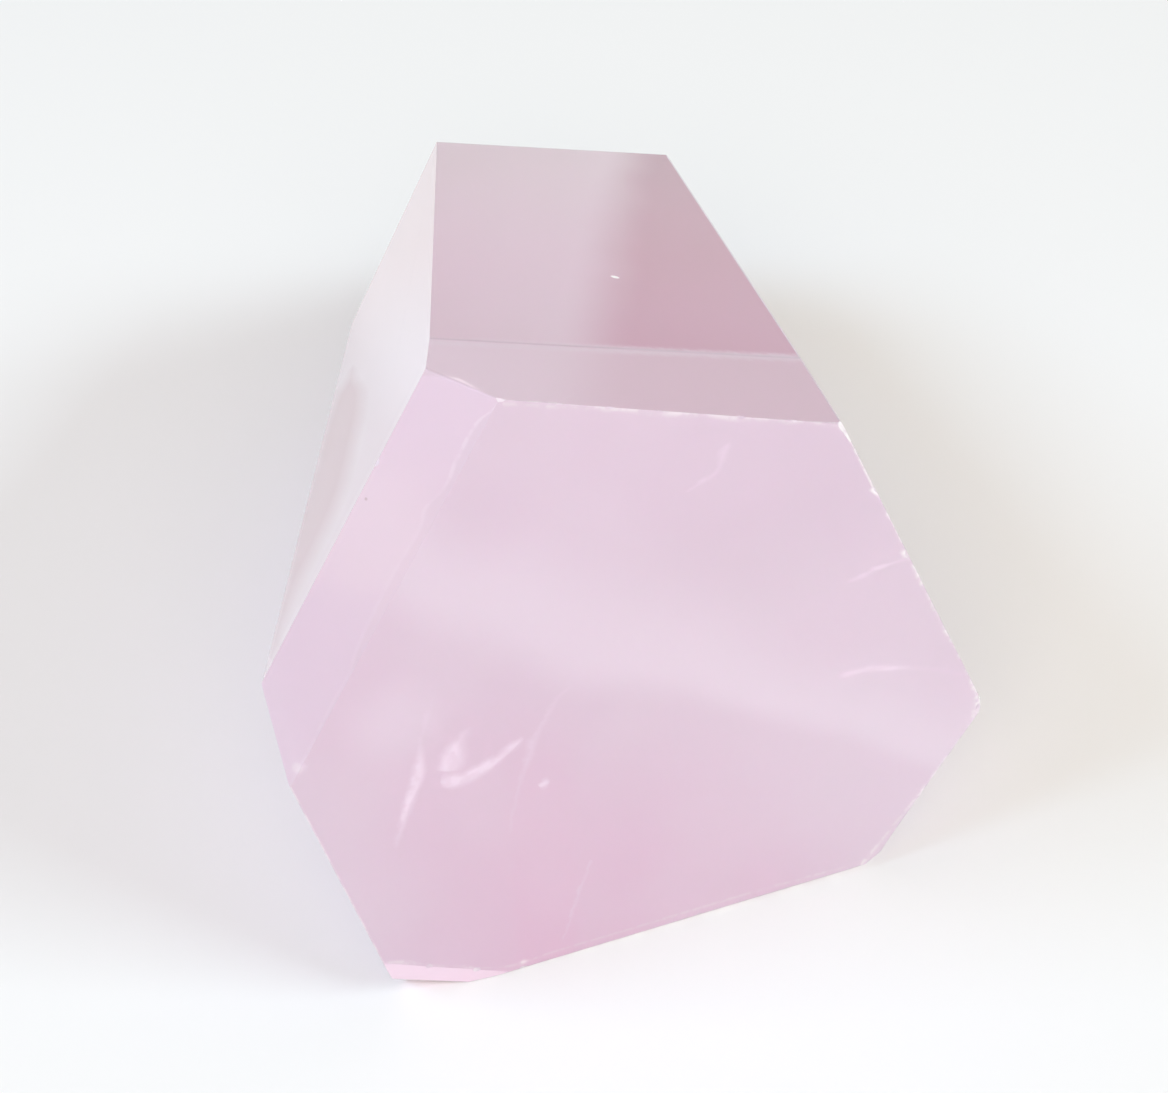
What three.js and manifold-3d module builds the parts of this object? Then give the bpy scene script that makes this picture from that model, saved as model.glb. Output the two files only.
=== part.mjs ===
// Rose quartz point: one solid, a six-sided tapering crystal with an oblique cut base,
// lying on one of its polished side faces.
// Lengths are millimetres and angles are degrees. +Z is up and the tip points to +Y.

import * as THREE from "three";
import { mergeVertices } from "three/addons/utils/BufferGeometryUtils.js";
import Module from "manifold-3d";

const wasm = await Module();
wasm.setup();

// The crystal frame has its Z axis along the crystal, from the middle of the base to the tip.
// A facet is a plane: its outward normal points to the azimuth and leans by the tilt toward
// the tip, and the distance runs from the middle of the base to the plane.
const REST_TAPER = 7.5;
const SIDES = {
  rest: { azimuth: 90, tilt: REST_TAPER, distance: 18.5 },
  lowLeft: { azimuth: 165.5, tilt: 5.5, distance: 19.4 },
  upLeft: { azimuth: -151, tilt: 7.5, distance: 21.1 },
  top: { azimuth: -76, tilt: 9.5, distance: 19.7 },
  upRight: { azimuth: -26, tilt: 5, distance: 17.4 },
  lowRight: { azimuth: 31.5, tilt: 5, distance: 22.6 },
};

// The base is sawn across the crystal, a little off square, and has a wide bevel on one edge.
// The top face has a second, slightly steeper facet beside the base.
const BASE = {
  base: { azimuth: 1, tilt: -77, distance: 0 },
  shoulder: { azimuth: -141, tilt: -55.5, distance: 13 },
  topBand: { azimuth: -74.5, tilt: 4.5, distance: 19.1 },
};

// Small worn facets on the corners and the lower edge of the base.
const WORN = {
  heel: { azimuth: 43, tilt: -77.5, distance: 3.3 },
  toe: { azimuth: 99.5, tilt: -49, distance: 15.3 },
  lowerEdge: { azimuth: 73.5, tilt: -46, distance: 12.2 },
  cornerUpRight: { azimuth: -29.5, tilt: -25.5, distance: 14.8 },
  cornerRight: { azimuth: -11, tilt: -19.5, distance: 17.3 },
  cornerLowRight: { azimuth: 48.5, tilt: -20, distance: 20.5 },
};

// The six facets of the point all meet at the tip, which sits a little off the axis.
const TIP = new THREE.Vector3(4, 0, 69);
const POINT = {
  pointTop: { azimuth: -94.5, tilt: 39 },
  pointUpLeft: { azimuth: -168.5, tilt: 40 },
  pointLowLeft: { azimuth: 150, tilt: 38 },
  pointRest: { azimuth: 88, tilt: 36 },
  pointLowRight: { azimuth: 32, tilt: 41 },
  pointUpRight: { azimuth: -30, tilt: 45.5 },
};

// Chips bitten out of the edges between two facets: x is where along the edge they sit.
const CHIPS = [
  { edge: ["base", "topBand"], x: -8, radius: 0.9, bite: 0.14 },
  { edge: ["base", "topBand"], x: -4.8, radius: 0.5, bite: 0.06 },
  { edge: ["base", "topBand"], x: -2.1, radius: 0.6, bite: 0.09 },
  { edge: ["base", "topBand"], x: 0.6, radius: 0.5, bite: 0.06 },
  { edge: ["base", "topBand"], x: 5.1, radius: 0.6, bite: 0.1 },
  { edge: ["base", "topBand"], x: 8.2, radius: 0.5, bite: 0.08 },
  { edge: ["base", "upRight"], x: 13.4, radius: 0.6, bite: 0.09 },
  { edge: ["base", "upRight"], x: 15.8, radius: 0.8, bite: 0.12 },
  { edge: ["base", "upRight"], x: 19.3, radius: 0.5, bite: 0.08 },
  { edge: ["base", "cornerRight"], x: 21.3, radius: 0.7, bite: 0.12 },
  { edge: ["base", "cornerRight"], x: 21.8, radius: 0.9, bite: 0.18 },
  { edge: ["base", "heel"], x: -13.8, radius: 0.7, bite: 0.05 },
  { edge: ["base", "heel"], x: -10.9, radius: 0.8, bite: 0.06 },
  { edge: ["base", "lowerEdge"], x: -8, radius: 0.6, bite: 0.08 },
  { edge: ["base", "lowerEdge"], x: 3.5, radius: 0.5, bite: 0.07 },
  { edge: ["shoulder", "upLeft"], x: -14.4, radius: 0.6, bite: 0.09 },
];

const BLOCK = 160;

function normalOf({ azimuth, tilt }) {
  const a = THREE.MathUtils.degToRad(azimuth);
  const t = THREE.MathUtils.degToRad(tilt);
  return new THREE.Vector3(Math.cos(a) * Math.cos(t), Math.sin(a) * Math.cos(t), Math.sin(t));
}

function solidFrom(geometry) {
  const bare = new THREE.BufferGeometry();
  const source = geometry.index ? geometry.toNonIndexed() : geometry;
  bare.setAttribute("position", source.getAttribute("position"));
  const merged = mergeVertices(bare, 1e-4);
  return new wasm.Manifold(
    new wasm.Mesh({
      numProp: 3,
      vertProperties: merged.attributes.position.array,
      triVerts: new Uint32Array(merged.index.array),
    }),
  );
}

function geometryFrom(solid) {
  const mesh = solid.getMesh();
  const geometry = new THREE.BufferGeometry();
  geometry.setAttribute("position", new THREE.BufferAttribute(mesh.vertProperties, 3));
  geometry.setIndex(new THREE.BufferAttribute(mesh.triVerts, 1));
  return geometry;
}

// Everything beyond a facet's plane, as a big box with one face on that plane.
function beyond(facet) {
  const normal = normalOf(facet);
  const box = new THREE.BoxGeometry(2 * BLOCK, 2 * BLOCK, BLOCK);
  box.applyQuaternion(
    new THREE.Quaternion().setFromUnitVectors(new THREE.Vector3(0, 0, 1), normal),
  );
  const out = normal.multiplyScalar(facet.distance + BLOCK / 2);
  box.translate(out.x, out.y, out.z);
  return solidFrom(box);
}

// The point with the given x on the line where two facets meet.
function onEdge(first, second, x) {
  const a = normalOf(first);
  const b = normalOf(second);
  const rows = new THREE.Matrix3(a.x, a.y, a.z, b.x, b.y, b.z, 1, 0, 0);
  return new THREE.Vector3(first.distance, second.distance, x).applyMatrix3(rows.invert());
}

const facets = { ...SIDES, ...BASE, ...WORN };
for (const [name, facet] of Object.entries(POINT)) {
  facets[name] = { ...facet, distance: normalOf(facet).dot(TIP) };
}

let crystal = solidFrom(new THREE.BoxGeometry(BLOCK, BLOCK, BLOCK));
for (const facet of Object.values(facets)) {
  crystal = crystal.subtract(beyond(facet));
}

for (const { edge, x, radius, bite } of CHIPS) {
  const [first, second] = edge.map((name) => facets[name]);
  const outward = normalOf(first).add(normalOf(second)).normalize();
  const centre = onEdge(first, second, x).addScaledVector(outward, radius - bite);
  const scoop = new THREE.IcosahedronGeometry(radius, 2);
  scoop.rotateY(x);
  scoop.translate(centre.x, centre.y, centre.z);
  crystal = crystal.subtract(solidFrom(scoop));
}

// Lay the crystal on its rest face and put the middle of its footprint box at the origin.
const geometry = geometryFrom(crystal);
geometry.rotateX(THREE.MathUtils.degToRad(-90 - REST_TAPER));
geometry.computeBoundingBox();
const { min, max } = geometry.boundingBox;
geometry.translate(-(min.x + max.x) / 2, -(min.y + max.y) / 2, -min.z);

const roseQuartz = new THREE.MeshStandardMaterial({
  color: 0xe6c4d6,
  roughness: 0.12,
  metalness: 0,
  flatShading: true,
});

const point = new THREE.Mesh(geometry, roseQuartz);
point.name = "quartz_point";

const group = new THREE.Group();
group.add(point);

export default group;
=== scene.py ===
import math
import bmesh
import bpy
from mathutils import Matrix, Vector


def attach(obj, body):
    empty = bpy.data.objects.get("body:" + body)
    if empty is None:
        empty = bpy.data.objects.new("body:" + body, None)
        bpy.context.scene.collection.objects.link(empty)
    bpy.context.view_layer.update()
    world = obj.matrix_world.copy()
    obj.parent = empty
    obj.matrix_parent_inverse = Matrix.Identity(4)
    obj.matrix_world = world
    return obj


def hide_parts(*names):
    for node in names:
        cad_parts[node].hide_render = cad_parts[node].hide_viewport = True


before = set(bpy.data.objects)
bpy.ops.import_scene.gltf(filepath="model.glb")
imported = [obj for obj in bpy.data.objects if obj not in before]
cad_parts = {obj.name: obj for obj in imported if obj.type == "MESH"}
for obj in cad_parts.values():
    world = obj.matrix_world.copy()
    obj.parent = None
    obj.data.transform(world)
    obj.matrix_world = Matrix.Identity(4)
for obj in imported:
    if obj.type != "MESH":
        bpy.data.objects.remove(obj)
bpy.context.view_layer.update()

# A rose quartz point that lies on a pale floor, seen toward its cut base. Its mesh is the CAD solid
# with softened edges, and one material gives each facet its own look. Lengths are metres.
MM = 0.001
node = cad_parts["quartz_point"]

# ---------------------------------------------------------------- camera
VIEW_SIZE = (1168.0, 1093.0)
FOCAL_PX = 2000.0
SENSOR_WIDTH = 36.0
NEAREST, FARTHEST = 0.005, 10.0
EYE = Vector((-12.785, -110.614, 103.08)) * MM
FORWARD = Vector((0.08279, 0.73844, -0.66921)).normalized()
RIGHT = FORWARD.cross(Vector((0, 0, 1))).normalized()
UP = RIGHT.cross(FORWARD)


def add_camera():
    """The photograph's camera."""
    data = bpy.data.cameras.new("camera")
    data.sensor_width = SENSOR_WIDTH
    data.sensor_fit = "HORIZONTAL"
    data.lens = SENSOR_WIDTH * FOCAL_PX / VIEW_SIZE[0]
    data.clip_start = NEAREST
    data.clip_end = FARTHEST
    cam = bpy.data.objects.new("camera", data)
    bpy.context.collection.objects.link(cam)
    cam.matrix_world = Matrix.Translation(EYE) @ Matrix((RIGHT, UP, -FORWARD)).transposed().to_4x4()
    bpy.context.scene.camera = cam


# ---------------------------------------------------------------- facets, as in the CAD source
# Azimuth and tilt in degrees of each facet's outward normal, about the crystal's own axis. The
# crystal lies with that axis level but for the taper of its rest face.
REST_TAPER = 7.5
FACETS = {
    "rest": (90, 7.5), "low_left": (165.5, 5.5), "up_left": (-151, 7.5), "top": (-76, 9.5),
    "up_right": (-26, 5), "low_right": (31.5, 5), "base": (1, -77), "shoulder": (-141, -55.5),
    "top_band": (-74.5, 4.5), "heel": (43, -77.5), "toe": (99.5, -49), "lower_edge": (73.5, -46),
    "corner_up_right": (-29.5, -25.5), "corner_right": (-11, -19.5),
    "corner_low_right": (48.5, -20),
    "point_top": (-94.5, 39), "point_up_left": (-168.5, 40), "point_low_left": (150, 38),
    "point_rest": (88, 36), "point_low_right": (32, 41), "point_up_right": (-30, 45.5),
}
FRONT = ("base", "shoulder", "heel", "toe", "lower_edge",
         "corner_up_right", "corner_right", "corner_low_right")

# The zones of the surface that differ in look, and the zone of each facet. Facets that aren't named
# here are plain sides. "edge" is for the softened edges around the base, "hem" for all the others.
ZONES = ["side", "base", "shoulder", "top", "left", "heel", "worn", "edge", "chip", "hem"]
ZONE_OF = {
    "base": "base", "shoulder": "shoulder", "top": "top", "top_band": "top", "up_left": "left",
    "heel": "heel", "toe": "heel", "lower_edge": "worn", "corner_up_right": "worn",
    "corner_right": "worn", "corner_low_right": "worn",
}

# How far hand polish has rounded an edge, in parts of the bevel width. Two facets that aren't named
# here meet sharply, unless one of them belongs to the point.
BEVEL_WIDTH = 0.33 * MM
BEVEL_SEGMENTS = 2
BEVEL_PROFILE = 0.6
POINT_WEAR = 0.3
EDGE_WEAR = {
    ("base", "top_band"): 0.55, ("base", "up_right"): 0.45, ("base", "low_right"): 0.4,
    ("base", "low_left"): 0.35, ("top", "top_band"): 0.3, ("top", "up_right"): 0.4,
    ("top_band", "up_right"): 0.4, ("low_left", "up_left"): 0.4, ("low_left", "rest"): 0.4,
    ("low_right", "rest"): 0.4, ("low_right", "up_right"): 0.4, ("shoulder", "top_band"): 0.6,
}


def facet_normal(name):
    """The facet's outward normal as the crystal lies."""
    azimuth, tilt = (math.radians(v) for v in FACETS[name])
    level = math.cos(tilt)
    n = Vector((math.cos(azimuth) * level, math.sin(azimuth) * level, math.sin(tilt)))
    return Matrix.Rotation(math.radians(-90 - REST_TAPER), 3, "X") @ n


NORMALS = {name: facet_normal(name) for name in FACETS}


# ---------------------------------------------------------------- crystal mesh
WELD = 0.001 * MM
FLAT_ANGLE = math.radians(0.6)      # triangles that lie flatter than this are one face
FACET_ANGLE = math.radians(1.0)     # a face turned further from every facet belongs to a chip
LEAST_FACET = 0.35 * MM * MM        # so does a smaller one
SHORTEST_EDGE = 0.5 * MM            # shorter edges stay sharp
NEAR_FACET = 0.3 * MM               # a softened edge this close to a facet's plane borders on it
ROUNDED_END = 0.5 * MM              # how far the shoulder's rounded upper end reaches


def facet_mesh():
    """The solid's flat triangles joined into facets with the zones as material indices and the
    wear as bevel weights, and a point on the plane of each facet."""
    bm = bmesh.new()
    bm.from_mesh(node.data)
    bmesh.ops.remove_doubles(bm, verts=bm.verts[:], dist=WELD)
    bmesh.ops.dissolve_limit(bm, angle_limit=FLAT_ANGLE, verts=bm.verts[:], edges=bm.edges[:])
    largest = {}
    owner = {}
    for face in bm.faces:
        name = max(NORMALS, key=lambda k: NORMALS[k].dot(face.normal))
        aligned = NORMALS[name].dot(face.normal) > math.cos(FACET_ANGLE)
        if aligned and face.calc_area() > LEAST_FACET:
            owner[face.index] = name
            face.material_index = ZONES.index(ZONE_OF.get(name, "side"))
            if face.calc_area() > largest.get(name, (0, None))[0]:
                largest[name] = (face.calc_area(), face.verts[0].co.copy())
        else:
            face.material_index = ZONES.index("chip")
    weight = bm.edges.layers.float.new("bevel_weight_edge")
    for edge in bm.edges:
        names = sorted(owner.get(f.index, "chip") for f in edge.link_faces)
        if "chip" in names or names[0] == names[1] or edge.calc_length() < SHORTEST_EDGE:
            continue
        at_point = any(k.startswith("point") for k in names)
        edge[weight] = EDGE_WEAR.get(tuple(names), POINT_WEAR if at_point else 0.0)
    me = bpy.data.meshes.new("sharp")
    bm.to_mesh(me)
    bm.free()
    return me, {name: place for name, (_, place) in largest.items()}


def soften(sharp):
    """A copy of the mesh with its worn edges bevelled. The new faces are in the edge zone."""
    for name in ZONES:
        sharp.materials.append(bpy.data.materials.new(name))
    cut = bpy.data.objects.new("cut", sharp)
    bpy.context.collection.objects.link(cut)
    bevel = cut.modifiers.new("soften", "BEVEL")
    bevel.limit_method = "WEIGHT"
    bevel.width = BEVEL_WIDTH
    bevel.offset_type = "OFFSET"
    bevel.use_clamp_overlap = False
    bevel.segments = BEVEL_SEGMENTS
    bevel.profile = BEVEL_PROFILE
    bevel.material = ZONES.index("edge")
    soft = bpy.data.meshes.new_from_object(cut.evaluated_get(bpy.context.evaluated_depsgraph_get()))
    bpy.data.objects.remove(cut)
    return soft


def off(face, name):
    """How far the middle of a face is from the plane of a facet."""
    return abs((face.center - ON_PLANE[name]).dot(NORMALS[name]))


def mark_zones(mesh):
    """Keeps each face's zone as an attribute that the material reads."""
    zone = mesh.attributes.new("zone", "FLOAT", "FACE")
    for face in mesh.polygons:
        name = ZONES[face.material_index]
        if name == "edge" and all(off(face, k) > NEAR_FACET for k in FRONT):
            name = "hem"
        at_end = all(off(face, k) < ROUNDED_END for k in ("shoulder", "top_band"))
        if name == "edge" and at_end and off(face, "base") > NEAR_FACET:
            name = "shoulder"
        zone.data[face.index].value = ZONES.index(name)
        face.material_index = 0
    mesh.materials.clear()
    for name in ZONES:
        bpy.data.materials.remove(bpy.data.materials[name])


# ---------------------------------------------------------------- places on the facets
def on_facet(facet, x, y):
    """The point of a facet that is seen at a place in the view."""
    ray = FORWARD * FOCAL_PX + RIGHT * (x - VIEW_SIZE[0] / 2) - UP * (y - VIEW_SIZE[1] / 2)
    n = NORMALS[facet]
    return EYE + ray * ((ON_PLANE[facet] - EYE).dot(n) / ray.dot(n))


def axes_on(facet, x, y, reach):
    """Two vectors and offsets so that dot(p, a) + a0 and dot(p, b) + b0 count view pixels along the
    facet, near a place on it."""
    c = on_facet(facet, x, y)
    ex = (on_facet(facet, x + reach, y) - on_facet(facet, x - reach, y)) / (2 * reach)
    ey = (on_facet(facet, x, y + reach) - on_facet(facet, x, y - reach)) / (2 * reach)
    gram = Matrix(((ex.dot(ex), ex.dot(ey)), (ex.dot(ey), ey.dot(ey)))).inverted()
    a = ex * gram[0][0] + ey * gram[0][1]
    b = ex * gram[1][0] + ey * gram[1][1]
    return a, x - a.dot(c), b, y - b.dot(c)


# Coordinates along a facet are view pixels divided by this, so that curves can hold them.
UNIT_PX = 1200.0


def px(value):
    """A length in view pixels as a length along a facet."""
    return value / UNIT_PX


# ---------------------------------------------------------------- shader helpers
SAME_ZONE = 0.4         # a zone's mask takes numbers that are this close to the zone's own
WIDTH_LIFT = 0.01       # raises the widths along a seam, so that a curve at 0 means no seam
SEAM_END_PX = 2.0       # how far past its last place a seam runs out
ACROSS, DOWN = 0, 1     # which way a seam runs in the view


class Graph:
    """A material's node tree and the sums that its colours are made with."""

    def __init__(self, material):
        material.use_nodes = True
        self.nt = material.node_tree
        self.bsdf = self.nt.nodes["Principled BSDF"]
        self.out = self.nt.nodes["Material Output"]
        self.p = self.add("ShaderNodeTexCoord").outputs["Object"]
        self.zone = self.add("ShaderNodeAttribute", attribute_name="zone").outputs["Fac"]
        self.masks = {}

    def add(self, kind, **props):
        n = self.nt.nodes.new(kind)
        for k, v in props.items():
            setattr(n, k, v)
        return n

    def put(self, socket, value):
        """Links a socket to another one or sets its value."""
        if isinstance(value, bpy.types.NodeSocket):
            self.nt.links.new(value, socket)
        else:
            socket.default_value = value

    def math(self, op, *values, clamp=False):
        n = self.add("ShaderNodeMath", operation=op, use_clamp=clamp)
        for s, v in zip(n.inputs, values):
            self.put(s, v)
        return n.outputs[0]

    def times(self, a, b):
        return self.math("MULTIPLY", a, b)

    def most(self, a, *others):
        """The largest of some values."""
        for b in others:
            a = self.math("MAXIMUM", a, b)
        return a

    def vec(self, op, *values):
        """The number that comes from a sum with vectors."""
        n = self.add("ShaderNodeVectorMath", operation=op)
        for s, v in zip(n.inputs, values):
            self.put(s, v)
        return n.outputs["Value"]

    def step(self, x, lo, hi, y0=0.0, y1=1.0):
        """A smooth step from y0 where x is lo to y1 where it is hi."""
        n = self.add("ShaderNodeMapRange", interpolation_type="SMOOTHSTEP")
        for s, v in zip(n.inputs, (x, lo, hi, y0, y1)):
            self.put(s, v)
        return n.outputs[0]

    def mix(self, f, a, b):
        """The colour a where f is 0 and b where it is 1."""
        n = self.add("ShaderNodeMix", data_type="RGBA")
        self.put(n.inputs[0], f)
        for s, v in ((n.inputs[6], a), (n.inputs[7], b)):
            self.put(s, v if isinstance(v, bpy.types.NodeSocket) else (*v, 1.0))
        return n.outputs[2]

    def sway(self, noise, swing_px):
        """A shift along a facet that follows a noise, by up to half the swing either way."""
        return self.math("MULTIPLY_ADD", noise, px(swing_px), px(-swing_px / 2))

    def broken(self, speckle, least):
        """A share that follows the speckle, from the least up to 1."""
        return self.math("MULTIPLY_ADD", speckle, 1.0 - least, least)

    def noise(self, size_mm, detail, rough):
        """Noise from 0 to 1 with features of about that size."""
        n = self.add("ShaderNodeTexNoise")
        self.put(n.inputs["Vector"], self.p)
        self.put(n.inputs["Scale"], 1.0 / (size_mm * MM))
        self.put(n.inputs["Detail"], detail)
        self.put(n.inputs["Roughness"], rough)
        return n.outputs[0]

    def curve(self, x, points):
        """A smooth function of x through some points, all of them from 0 to 1."""
        n = self.add("ShaderNodeFloatCurve")
        self.put(n.inputs["Value"], x)
        c = n.mapping.curves[0]
        n.mapping.extend = "HORIZONTAL"
        for i, (at, value) in enumerate(sorted(points)):
            if i < 2:
                c.points[i].location = (at, value)
            else:
                c.points.new(at, value)
        for q in c.points:
            q.handle_type = "AUTO_CLAMPED"
        n.mapping.update()
        return n.outputs[0]

    def mask(self, name):
        """1 in a zone and 0 elsewhere."""
        if name not in self.masks:
            number = float(ZONES.index(name))
            self.masks[name] = self.math("COMPARE", self.zone, number, SAME_ZONE)
        return self.masks[name]

    def beyond(self, facet, a, b, towards):
        """Metres past the line through two places of a facet, counted towards a third one."""
        start, end, side = (on_facet(facet, *q) for q in (a, b, towards))
        across = (end - start).cross(NORMALS[facet]).normalized()
        across *= math.copysign(1.0, (side - start).dot(across))
        return self.math("SUBTRACT", self.vec("DOT_PRODUCT", self.p, across), start.dot(across))

    def near(self, facet, x, y, outer_mm, inner_mm, amount=1.0):
        """The amount within the inner radius of a place on a facet, 0 past the outer one."""
        away = self.vec("DISTANCE", self.p, on_facet(facet, x, y))
        return self.step(away, outer_mm * MM, inner_mm * MM, 0.0, amount)


class Along:
    """Two coordinates that count view pixels along a facet, in units of UNIT_PX. They are fitted
    around one place, within the reach in pixels. A bend may be added to the first one."""

    def __init__(self, g, facet, x, y, reach=200, bend=None):
        a, a0, b, b0 = axes_on(facet, x, y, reach)
        self.g, self.facet = g, facet
        self.rows = ((a / UNIT_PX, a0 / UNIT_PX), (b / UNIT_PX, b0 / UNIT_PX))
        self.u, self.v = (g.math("ADD", g.vec("DOT_PRODUCT", g.p, w), o) for w, o in self.rows)
        if bend is not None:
            self.u = g.math("ADD", self.u, bend)

    def at(self, x, y):
        """The coordinates of a place of the view."""
        point = on_facet(self.facet, x, y)
        return [point.dot(w) + o for w, o in self.rows]

    def seams(self, run, soft, *chains):
        """Seams as chains of (view x, view y, half width in view pixels), fading over some pixels.
        All run ACROSS or all run DOWN, and no two chains of one call overlap along their run."""
        g = self.g
        gap = px(SEAM_END_PX)
        centre, width = [], []
        for chain in chains:
            spots = sorted(((self.at(x, y), w) for x, y, w in chain), key=lambda q: q[0][run])
            centre += [(q[run], q[1 - run]) for q, w in spots]
            width.append((spots[0][0][run] - gap, 0.0))
            width += [(q[run], WIDTH_LIFT + px(w)) for q, w in spots]
            width.append((spots[-1][0][run] + gap, 0.0))
        follow, across = (self.u, self.v) if run == ACROSS else (self.v, self.u)
        away = g.math("ABSOLUTE", g.math("SUBTRACT", across, g.curve(follow, centre)))
        k = UNIT_PX / soft
        fade = g.math("MULTIPLY_ADD", away, -k, -WIDTH_LIFT * k)
        return g.math("MULTIPLY_ADD", g.curve(follow, width), k, fade, clamp=True)


# ---------------------------------------------------------------- marks on the facets
# Places are view pixels: (x, y) on a line, (x, y, half width) along a seam. A border is two places
# on a line across a facet and one on the side where a look begins. A spot is a facet, a place on
# it, an outer and an inner radius in mm and, where it isn't 1, an amount.

# the lower side of the base's pale band of painted light, where it starts to fade, and how deep
# the pink below is, which is painted shade
BAND_RIDGE = [(300, 505), (400, 555), (460, 600), (520, 622), (600, 650), (700, 668), (800, 700),
              (900, 735), (980, 762)]
DEEP_SHARE = [(300, 0.1), (450, 0.5), (505, 0.7), (530, 0.88), (560, 0.88), (590, 0.65), (640, 0.7),
              (880, 0.2)]

# healed cracks that run down the base, and those that run across it
SPLINTER = [(731, 441, 1.5), (723, 453, 6), (719, 468, 4), (709, 477, 6), (698, 485, 4),
            (687, 494, 1.5)]
DOTTED_CRACK = [(912, 559, 11), (896, 562, 5), (880, 567, 11), (872, 571, 4), (860, 577, 8),
                (844, 585, 4)]
LEFT_CRACK = [(433, 696, 1.5), (430, 708, 3), (426, 722, 4), (421, 738, 3), (421, 752, 4),
              (418, 775, 9), (412, 794, 7.5), (405, 815, 6), (399, 836, 4), (395, 850, 2)]
LOW_HAIRLINE = [(592, 858, 2), (588, 868, 3), (562, 942, 2)]
EDGE_FLECK = [(289, 767, 12), (302, 766, 8), (308, 766, 2)]
BOW = [(440, 782, 4), (444, 781, 8), (451, 781, 10), (464, 779, 8.5), (478, 771, 9.5),
       (495, 761, 8), (508, 750, 7), (520, 742, 5), (526, 737, 1.5)]
FLECK = [(537, 787, 5), (541, 785, 7), (551, 781, 5)]
RIGHT_HAIRLINE = [(836, 678, 3), (850, 674, 7), (868, 669, 7), (900, 668, 6), (915, 668, 4),
                  (966, 675, 4)]
LONG_CRACK = [(574, 684, 2), (556, 700, 4), (548, 714, 5), (541, 728, 4), (533, 740, 7),
              (529, 755, 7), (523, 772, 4.5), (516, 800, 3), (509, 836, 2)]
FAN = [(470, 727, 3), (460, 740, 9), (455, 750, 14), (452, 762, 16), (448, 772, 13)]

# the worn rims of the base along its upper edge, its lower edge and its right edges, with bruises
UPPER_RIM = [
    (503, 404, 3), (530, 405, 2), (556, 407, 3.5), (562, 407, 2), (582, 408, 3.5), (590, 408, 2),
    (608, 409, 4), (616, 410, 2), (655, 413, 4), (692, 414.5, 3.5), (700, 415, 2.5), (733, 418, 4),
    (745, 418.5, 4), (752, 419, 2.5), (790, 421.5, 4), (800, 422, 2.5), (834, 424, 4),
    (843, 429, 4), (857, 443, 3)]
LOWER_RIM = [
    (384, 963, 1.5), (396, 962, 3), (412, 963, 4), (420, 964, 2), (450, 966, 2.5), (470, 967, 3.5),
    (478, 968, 1.5), (500, 967, 2), (519, 964, 3), (524, 962, 5), (530, 960, 2), (560, 950, 2),
    (600, 938, 2), (700, 908, 2.5), (760, 890, 2.5), (850, 866, 2)]
RIGHT_RIM = [
    (859, 446, 3.5), (870, 474, 3), (876, 488, 3.5), (877, 492, 9), (882, 498, 4), (892, 518, 7),
    (894, 522, 4), (904, 545, 4), (909, 556, 10), (912, 562, 4), (924, 586, 7), (926, 590, 4),
    (936, 610, 6), (938, 614, 4), (952, 640, 7), (955, 645, 4), (970, 676, 5), (977, 688, 9),
    (983, 702, 13), (980, 716, 11), (974, 723, 4), (950, 754, 4), (925, 787, 5), (900, 818, 3),
    (855, 873, 5)]

# the worn edge of the hollow between the shoulder and the base; the hollow is painted shade
HOLLOW = [
    (503, 400), (500, 405), (492, 412), (481, 420), (473, 431), (463, 450), (456, 464), (449, 483),
    (437, 498), (427, 508), (422, 527), (410, 548), (396, 572), (380, 602), (357, 653), (349, 677),
    (334, 703), (309, 752), (290, 788)]

# painted shade: the dusky wedge down the outer side of the left face
SHADE_WEDGE = [(353, 365, 2), (351, 378, 10), (348, 396, 21), (337, 440, 24), (327, 480, 24),
         (315, 514, 23), (303, 550, 18), (291, 586, 13), (281, 620, 9), (270, 660, 4)]

# the borders on the shoulder and on the top face
SHOULDER_LOWER_PART = ((320, 576), (400, 590), (300, 700))
SHOULDER_UPPER_END = ((420, 375.6), (446, 377), (430, 366))
# painted shade: the top face is painted deeper toward this far edge
TOP_FAR_EDGE = ((440, 142), (660, 150), (600, 300))
# painted shade: right of this border the top face is painted much darker
TOP_RIGHT_PART = ((629, 160), (594, 350), (700, 280))
# painted light: the strip before this border is painted paler
TOP_STRIP = ((437, 340), (790, 357), (600, 390))
LIP_ENDS = (((441, 375.5), (466, 379), (450, 400)), ((458, 377.5), (502, 402.5), (450, 420)))

# a part of the base that isn't as pale as the rest of its right, the puff of cloud at its left, the
# brightest part of the shoulder, a painted highlight, with a dark mote and a pale nick, and a
# bright inclusion in the top
DULL_SPOT = ("base", 785, 480, 11, 2)
PUFF = ("base", 393, 722, 3.9, 0.7, 0.65)
BRIGHT_SPOT = ("shoulder", 375, 535, 7, 2)
MOTE_SPOT = ("shoulder", 366, 499, 0.12, 0.05)
NICK = ("shoulder", 297, 768, 0.45, 0.15, 0.3)
INCLUSION = ("top", 615, 277, 0.36, 0.18)

# ---------------------------------------------------------------- quartz
# colours of the sides, the base and the bruises
PALE = (0.955, 0.865, 0.97)
PINK = (0.905, 0.765, 0.90)
RIGHT_PINK = (0.965, 0.83, 0.965)
# DEEP is painted shade below the base's band, and BAND_PALE that band's painted light
DEEP = (0.93, 0.635, 0.825)
BAND_PALE = (0.98, 0.875, 1.0)
HAZE = (0.985, 0.865, 1.0)
CRACK = (1.0, 0.845, 1.0)
WHITE = (1.0, 0.985, 0.995)

# colours of the shoulder and of the hollow beside it, each dull and in the painted highlight, and
# of the heel; the hollow's colours are darker, painted shade
SHOULDER = ((0.88, 0.725, 0.86), (0.92, 0.785, 0.89))
SHOULDER_LOW = (0.86, 0.73, 0.86)
SHOULDER_END = (0.80, 0.66, 0.75)
SLIVER = ((0.85, 0.715, 0.835), (0.90, 0.765, 0.87))
SLIVER_RIM = (1.0, 0.90, 1.0)
MOTE = (0.72, 0.60, 0.66)
HEEL = (1.0, 0.79, 0.95)
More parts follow.
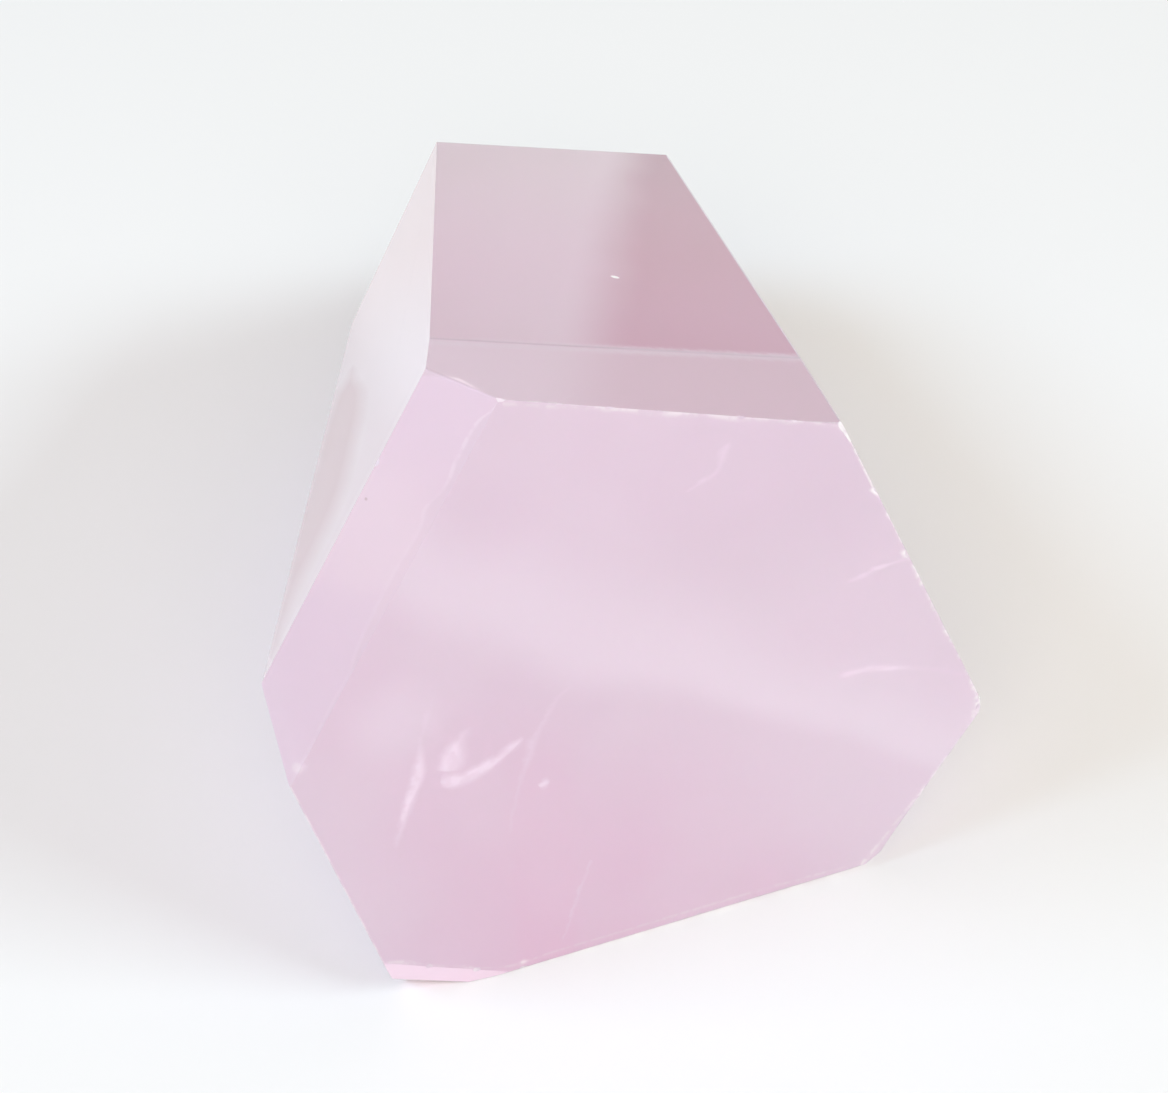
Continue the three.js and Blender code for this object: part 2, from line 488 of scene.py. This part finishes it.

# colours of the top face: its left and its right part, each at the far edge, half way and before
# the strip, then the strip and the lip; and of the left face at its two ends and in its wedge.
# The top face's right part and far edge are darkened as painted shade, and its strip is painted
# light; the wedge is painted shade.
TOP_LEFT = ((0.895, 0.685, 0.775), (0.99, 0.735, 0.885), (1.0, 0.79, 0.925))
TOP_RIGHT = ((0.53, 0.235, 0.325), (0.72, 0.345, 0.475), (0.77, 0.40, 0.555))
STRIP = (1.0, 0.885, 1.0)
LIP = (1.0, 0.82, 0.95)
LEFT_FAR = (0.97, 0.70, 0.735)
LEFT_NEAR = (1.0, 0.855, 0.945)
WEDGE_SHADE = (0.796, 0.568, 0.632)

# How white wear makes a zone and the base's rims, how clear the stone is, how much less clear some
# zones are, and how far a crack clouds it.
WEAR = {"worn": 0.8, "edge": 0.5, "chip": 0.45}
RIM_WEAR = 0.7
CLEAREST, LEAST_CLEAR = 0.5, 0.1
LESS_CLEAR = {"top": 0.1, "shoulder": 0.1, "heel": 0.2, "left": 0.35}
CRACK_HAZE = 0.38

# The polish is a thin smooth coat over the rough stone, and the tint is what the stone absorbs.
SURFACE = {"Roughness": 0.55, "IOR": 1.54, "Coat Roughness": 0.04, "Coat IOR": 1.54}
BRUISED_POLISH = 0.2
TINT = (0.95, 0.70, 0.86, 1.0)
TINT_DENSITY = 11.0


def base_looks(g, cloud, grain, speckle):
    """The cut base: pink, paler to the right, with a pale band of painted light whose lower side
    is sharper, and painted shade of deeper pink below. Returns its colour, how much the band
    clouds it, the pale healed cracks and the bruised rims."""
    on = Along(g, "base", 640, 700, bend=g.sway(grain, 7))
    right = g.step(on.u, px(540), px(860))
    paler = g.math("SUBTRACT", right, g.near(*DULL_SPOT), clamp=True)
    colour = g.mix(paler, PINK, RIGHT_PINK)

    # the band of painted light rises over 100 px above its ridge and fades out below it,
    # sooner on the right
    ridge = g.curve(on.u, [(px(x), px(y)) for x, y in BAND_RIDGE])
    below = g.math("SUBTRACT", g.math("ADD", on.v, g.sway(cloud, 30)), ridge)
    end = g.math("MULTIPLY_ADD", on.u, -0.1, px(120))
    rise = g.step(below, px(-100), px(-4), 0.0, 0.85)
    band = g.times(rise, g.step(below, px(6), end, 1.0, 0.0))
    colour = g.mix(band, colour, BAND_PALE)
    # painted shade: the pink is deeper below the band
    deep = g.curve(on.u, [(px(x), share) for x, share in DEEP_SHARE])
    colour = g.mix(g.times(g.step(below, px(15), px(250)), deep), colour, DEEP)
    colour = g.mix(g.near(*PUFF), colour, HAZE)

    crack = g.most(
        on.seams(DOWN, 6, SPLINTER, DOTTED_CRACK, LEFT_CRACK, LOW_HAIRLINE),
        on.seams(ACROSS, 6, EDGE_FLECK, BOW, FLECK, RIGHT_HAIRLINE),
        on.seams(DOWN, 9, LONG_CRACK),
        on.seams(DOWN, 12, FAN))
    crack = g.times(crack, g.times(g.mask("base"), g.broken(speckle, 0.65)))

    rim = g.most(on.seams(ACROSS, 5, UPPER_RIM), on.seams(ACROSS, 5, LOWER_RIM),
                 on.seams(DOWN, 5, RIGHT_RIM))
    weak_on_left = g.step(on.u, px(440), px(760), 0.12, 0.235)
    return colour, g.times(band, weak_on_left), crack, g.times(rim, g.mask("base"))


def shoulder_looks(g, cloud, speckle):
    """The wide bevel beside the base: a painted highlight half way down, pinker below, its
    right edge worn back in a shallow hollow that is painted darker as painted shade, with a light
    rim, its upper end rounded."""
    # painted highlight: brightest half way down
    glow = g.near(*BRIGHT_SPOT)
    colour = g.mix(glow, *SHOULDER)
    under = g.beyond("shoulder", *SHOULDER_LOWER_PART)
    under = g.math("ADD", under, g.times(cloud, 1.5 * MM))
    colour = g.mix(g.step(under, 0.2 * MM, 2.2 * MM, 0.0, 0.6), colour, SHOULDER_LOW)

    on = Along(g, "shoulder", 420, 560, reach=60)
    hollow = [on.at(x, y) for x, y in HOLLOW]
    inside = g.math("SUBTRACT", on.u, g.curve(on.v, [(v, u) for u, v in hollow]))
    # painted shade: the hollow is painted darker than the shoulder
    colour = g.mix(g.step(inside, px(-1.5), px(1.0)), colour, g.mix(glow, *SLIVER))

    # the rim is a line 1.5 px outside the hollow, fainter below its upper part
    rim = g.math("ABSOLUTE", g.math("ADD", inside, px(1.5)))
    rim = g.step(rim, px(3.5), px(0.7), 0.0, 0.6)
    rim = g.times(rim, g.step(on.v, px(440), px(540), 1.0, 0.25))
    colour = g.mix(g.times(rim, g.broken(speckle, 0.25)), colour, SLIVER_RIM)
    above = g.beyond("shoulder", *SHOULDER_UPPER_END)
    return g.mix(g.step(above, -0.1 * MM, 0.15 * MM), colour, SHOULDER_END)


def top_looks(g, cloud, grain):
    """The top face: its left part is pale and its right part painted deep pink as painted
    shade, both painted a little deeper toward the far edge, where the polish mirrors more, as
    painted shade. A light line and a paler strip of painted light lie before the base.
    Returns its colour and the lip of the shoulder that it shows."""
    # painted shade: deeper toward the far edge
    inward = g.beyond("top", *TOP_FAR_EDGE)
    near = g.step(inward, 0.0, 30 * MM)
    nearest = g.step(inward, 25 * MM, 39 * MM)
    left, right = (g.mix(nearest, g.mix(near, at_edge, half_way), at_strip)
                   for at_edge, half_way, at_strip in (TOP_LEFT, TOP_RIGHT))
    # painted shade: the right part is painted much darker
    split = g.math("ADD", g.beyond("top", *TOP_RIGHT_PART), g.times(cloud, 1.0 * MM))
    colour = g.mix(g.step(split, -2.0 * MM, 3.0 * MM), left, right)

    # painted light: the light line and the paler strip
    past = g.math("ADD", g.beyond("top", *TOP_STRIP), g.times(grain, 0.5 * MM))
    line = g.math("ABSOLUTE", g.math("SUBTRACT", past, 0.25 * MM))
    line = g.step(line, 0.9 * MM, 0.2 * MM, 0.0, 0.3)
    strip = g.step(past, -0.4 * MM, 0.6 * MM, 0.0, 0.68)
    colour = g.mix(g.math("ADD", strip, line), colour, STRIP)

    lip = g.math("MINIMUM", *(g.beyond("top_band", *border) for border in LIP_ENDS))
    lip = g.step(lip, -0.2 * MM, 0.2 * MM)
    return g.mix(lip, colour, LIP), lip


def left_looks(g):
    """The left face: greyer toward its far end, with painted shade along its outer side."""
    on = Along(g, "up_left", 345, 440, reach=12)
    colour = g.mix(g.step(on.v, px(215), px(390)), LEFT_FAR, LEFT_NEAR)
    # painted shade along the outer side
    return g.mix(on.seams(DOWN, 14, SHADE_WEDGE), colour, WEDGE_SHADE)


def bruises(g, rim, speckle):
    """Where wear has whitened the stone: the rims of the base, the worn facets, the softened edges
    and the chips, all of them speckled, with a bright inclusion and a nick."""
    worn = g.times(rim, RIM_WEAR)
    for name, amount in WEAR.items():
        worn = g.math("MULTIPLY_ADD", g.mask(name), amount, worn)
    worn = g.times(worn, g.broken(speckle, 0.2))
    return g.most(worn, g.near(*INCLUSION), g.near(*NICK))


def rose_quartz():
    """Half clear, rough inside its thin polish, with a pink tint that deepens with depth."""
    material = bpy.data.materials.new("rose_quartz")
    g = Graph(material)
    cloud = g.noise(size_mm=8, detail=0, rough=0.5)
    grain = g.noise(size_mm=0.6, detail=1, rough=0.7)
    speckle = g.step(grain, 0.36, 0.6)

    base, band, crack, rim = base_looks(g, cloud, grain, speckle)
    top, lip = top_looks(g, cloud, grain)
    colour = g.mix(g.mask("base"), PINK, base)
    colour = g.mix(crack, colour, CRACK)
    colour = g.mix(g.mask("shoulder"), colour, shoulder_looks(g, cloud, speckle))
    colour = g.mix(g.step(cloud, 0.4, 0.7, 0.0, 0.24), colour, PALE)
    colour = g.mix(g.mask("top"), colour, top)
    colour = g.mix(g.mask("left"), colour, left_looks(g))
    colour = g.mix(g.near(*MOTE_SPOT), colour, MOTE)
    colour = g.mix(g.mask("heel"), colour, HEEL)
    white = bruises(g, rim, speckle)
    colour = g.mix(white, colour, WHITE)

    # less clear where it is pale, and in the facets that show the most cloud
    pale = g.most(white, band, g.times(crack, CRACK_HAZE), g.times(g.mask("top"), lip))
    clear = g.step(pale, 0.0, 1.0, CLEAREST, LEAST_CLEAR)
    for name, less in LESS_CLEAR.items():
        clear = g.math("MULTIPLY_ADD", g.mask(name), -less, clear, clamp=True)
    polish = g.step(g.most(white, g.mask("chip")), 0.0, 0.8, 1.0, BRUISED_POLISH)

    g.put(g.bsdf.inputs["Base Color"], colour)
    g.put(g.bsdf.inputs["Transmission Weight"], clear)
    g.put(g.bsdf.inputs["Coat Weight"], polish)
    for name, value in SURFACE.items():
        g.put(g.bsdf.inputs[name], value)
    absorb = g.add("ShaderNodeVolumeAbsorption")
    g.put(absorb.inputs["Color"], TINT)
    g.put(absorb.inputs["Density"], TINT_DENSITY)
    g.nt.links.new(absorb.outputs[0], g.out.inputs["Volume"])
    return material


# ---------------------------------------------------------------- floor and light
FLOOR_REACH = 3.0               # from its middle to each side
FLOOR_DROP = 0.05 * MM          # so that it doesn't share a plane with the rest face
FLOOR_GREY = (0.848, 0.848, 0.848, 1)
FLOOR_ROUGHNESS = 0.7
ROOM = (1.0, 0.877, 0.76, 1)
ROOM_STRENGTH = 0.554


def add_floor():
    """A plain sheet of pale paper without gloss."""
    mesh = bpy.data.meshes.new("floor")
    bm = bmesh.new()
    bmesh.ops.create_grid(bm, x_segments=1, y_segments=1, size=FLOOR_REACH)
    bm.to_mesh(mesh)
    bm.free()
    floor = bpy.data.objects.new("floor", mesh)
    bpy.context.collection.objects.link(floor)
    floor.location.z = -FLOOR_DROP
    paper = bpy.data.materials.new("floor_white")
    paper.use_nodes = True
    sheet = paper.node_tree.nodes["Principled BSDF"]
    sheet.inputs["Base Color"].default_value = FLOOR_GREY
    sheet.inputs["Roughness"].default_value = FLOOR_ROUGHNESS
    sheet.inputs["Specular IOR Level"].default_value = 0.0
    mesh.materials.append(paper)
    return floor


def add_room():
    """The light that the room gives from all sides."""
    world = bpy.data.worlds.new("studio")
    world.use_nodes = True
    background = world.node_tree.nodes["Background"]
    background.inputs["Color"].default_value = ROOM
    background.inputs["Strength"].default_value = ROOM_STRENGTH
    bpy.context.scene.world = world


def softbox(name, azimuth, elevation, distance, size, watts, colour):
    """An area light aimed at the stone. Azimuth 0 is straight before the base, positive to +X."""
    a, e = math.radians(azimuth), math.radians(elevation)
    d = Vector((math.sin(a) * math.cos(e), -math.cos(a) * math.cos(e), math.sin(e)))
    data = bpy.data.lights.new(name, "AREA")
    data.shape = "RECTANGLE"
    data.size, data.size_y = size
    data.energy = watts
    data.color = colour
    # no sharp reflection of the light needs this, and it would make the render slower
    data.cycles.use_multiple_importance_sampling = False
    ob = bpy.data.objects.new(name, data)
    bpy.context.collection.objects.link(ob)
    ob.location = d * distance
    ob.rotation_euler = d.to_track_quat("Z", "Y").to_euler()


# ---------------------------------------------------------------- scene
add_camera()

sharp, ON_PLANE = facet_mesh()
mesh = soften(sharp)
mark_zones(mesh)
mesh.name = "rose_quartz_crystal"
crystal = bpy.data.objects.new("rose_quartz_crystal", mesh)
bpy.context.collection.objects.link(crystal)
crystal.matrix_world = node.matrix_world.copy()
mesh.materials.append(rose_quartz())
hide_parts("quartz_point")
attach(crystal, "root")

add_floor()
add_room()
softbox("left_window", azimuth=-84, elevation=40, distance=1.6, size=(0.8, 0.6), watts=10.89,
        colour=(0.5235, 0.746, 1.0))
softbox("right_window", azimuth=66, elevation=36, distance=2.2, size=(1.0, 0.5), watts=21.48,
        colour=(0.763, 0.933, 1.0))
softbox("front_fill", azimuth=-10, elevation=36, distance=0.8, size=(0.7, 0.4), watts=2.66,
        colour=(1.0, 0.93, 0.842))

scene = bpy.context.scene
scene.view_settings.view_transform = "Standard"
scene.cycles.max_bounces = 16
scene.cycles.transmission_bounces = 8
scene.cycles.diffuse_bounces = 6
